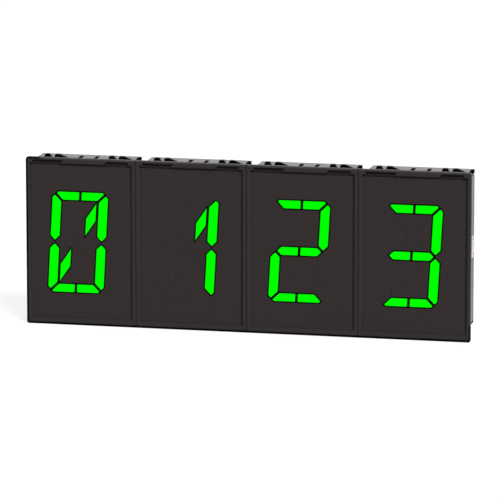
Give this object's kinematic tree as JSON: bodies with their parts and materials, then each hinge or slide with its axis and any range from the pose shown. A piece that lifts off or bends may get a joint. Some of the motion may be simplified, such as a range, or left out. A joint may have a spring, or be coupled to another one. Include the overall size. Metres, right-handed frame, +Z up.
{
  "type": "sixteen-segment led display",
  "caption": "Panel display of joined black-framed modules; light bars in each dark face form one green character, and a shallow clip-together case sits behind the flange.",
  "frame": {"origin": "on the plane of the flange backs that seats on the panel, on the middle seam, at mid height", "axes": "+X to the right as seen from the front, +Y from the front towards the rear, +Z up"},
  "size_m": [0.2558, 0.0332, 0.096],
  "materials": {
    "frame_plastic": "black moulded, semi-gloss",
    "face_plate": "dark smoked, matte",
    "lit_bar": "glowing green",
    "dark_bar": "dark tinted, unlit",
    "reflector_plastic": "white moulded",
    "board": "green solder mask",
    "lamp": "milky",
    "header_plastic": "black moulded",
    "chip_plastic": "black moulded",
    "case_plastic": "black moulded, semi-gloss",
    "cover_plastic": "black moulded, semi-gloss",
    "connector_plastic": "off-white moulded",
    "bridge_plastic": "off-white moulded",
    "terminal_plastic": "dark moulded",
    "screw_metal": "nickel plated"
  },
  "bodies": {
    "root": {"board_header_1": "header_plastic", "board_header_2": "header_plastic", "board_header_3": "header_plastic", "board_header_4": "header_plastic", "case_body_1": "case_plastic", "case_body_2": "case_plastic", "case_body_3": "case_plastic", "case_body_4": "case_plastic", "control_board_1": "board", "control_board_2": "board", "control_board_3": "board", "control_board_4": "board", "control_parts_1": "chip_plastic", "control_parts_2": "chip_plastic", "control_parts_3": "chip_plastic", "control_parts_4": "chip_plastic", "face_plate_1": "face_plate", "face_plate_2": "face_plate", "face_plate_3": "face_plate", "face_plate_4": "face_plate", "front_frame_1": "frame_plastic", "front_frame_2": "frame_plastic", "front_frame_3": "frame_plastic", "front_frame_4": "frame_plastic", "led_board_1": "board", "led_board_2": "board", "led_board_3": "board", "led_board_4": "board", "led_chips_1": "lamp", "led_chips_2": "lamp", "led_chips_3": "lamp", "led_chips_4": "lamp", "link_bridge_12": "bridge_plastic", "link_bridge_23": "bridge_plastic", "link_bridge_34": "bridge_plastic", "link_sockets_1": "connector_plastic", "link_sockets_2": "connector_plastic", "link_sockets_3": "connector_plastic", "link_sockets_4": "connector_plastic", "lit_bars_1": "lit_bar", "lit_bars_2": "lit_bar", "lit_bars_3": "lit_bar", "lit_bars_4": "lit_bar", "rear_cover_1": "cover_plastic", "rear_cover_2": "cover_plastic", "rear_cover_3": "cover_plastic", "rear_cover_4": "cover_plastic", "reflector_1": "reflector_plastic", "reflector_2": "reflector_plastic", "reflector_3": "reflector_plastic", "reflector_4": "reflector_plastic", "terminal_block": "terminal_plastic", "terminal_screws": "screw_metal", "unlit_bars_1": "dark_bar", "unlit_bars_2": "dark_bar", "unlit_bars_3": "dark_bar", "unlit_bars_4": "dark_bar"}
  },
  "joints": []
}
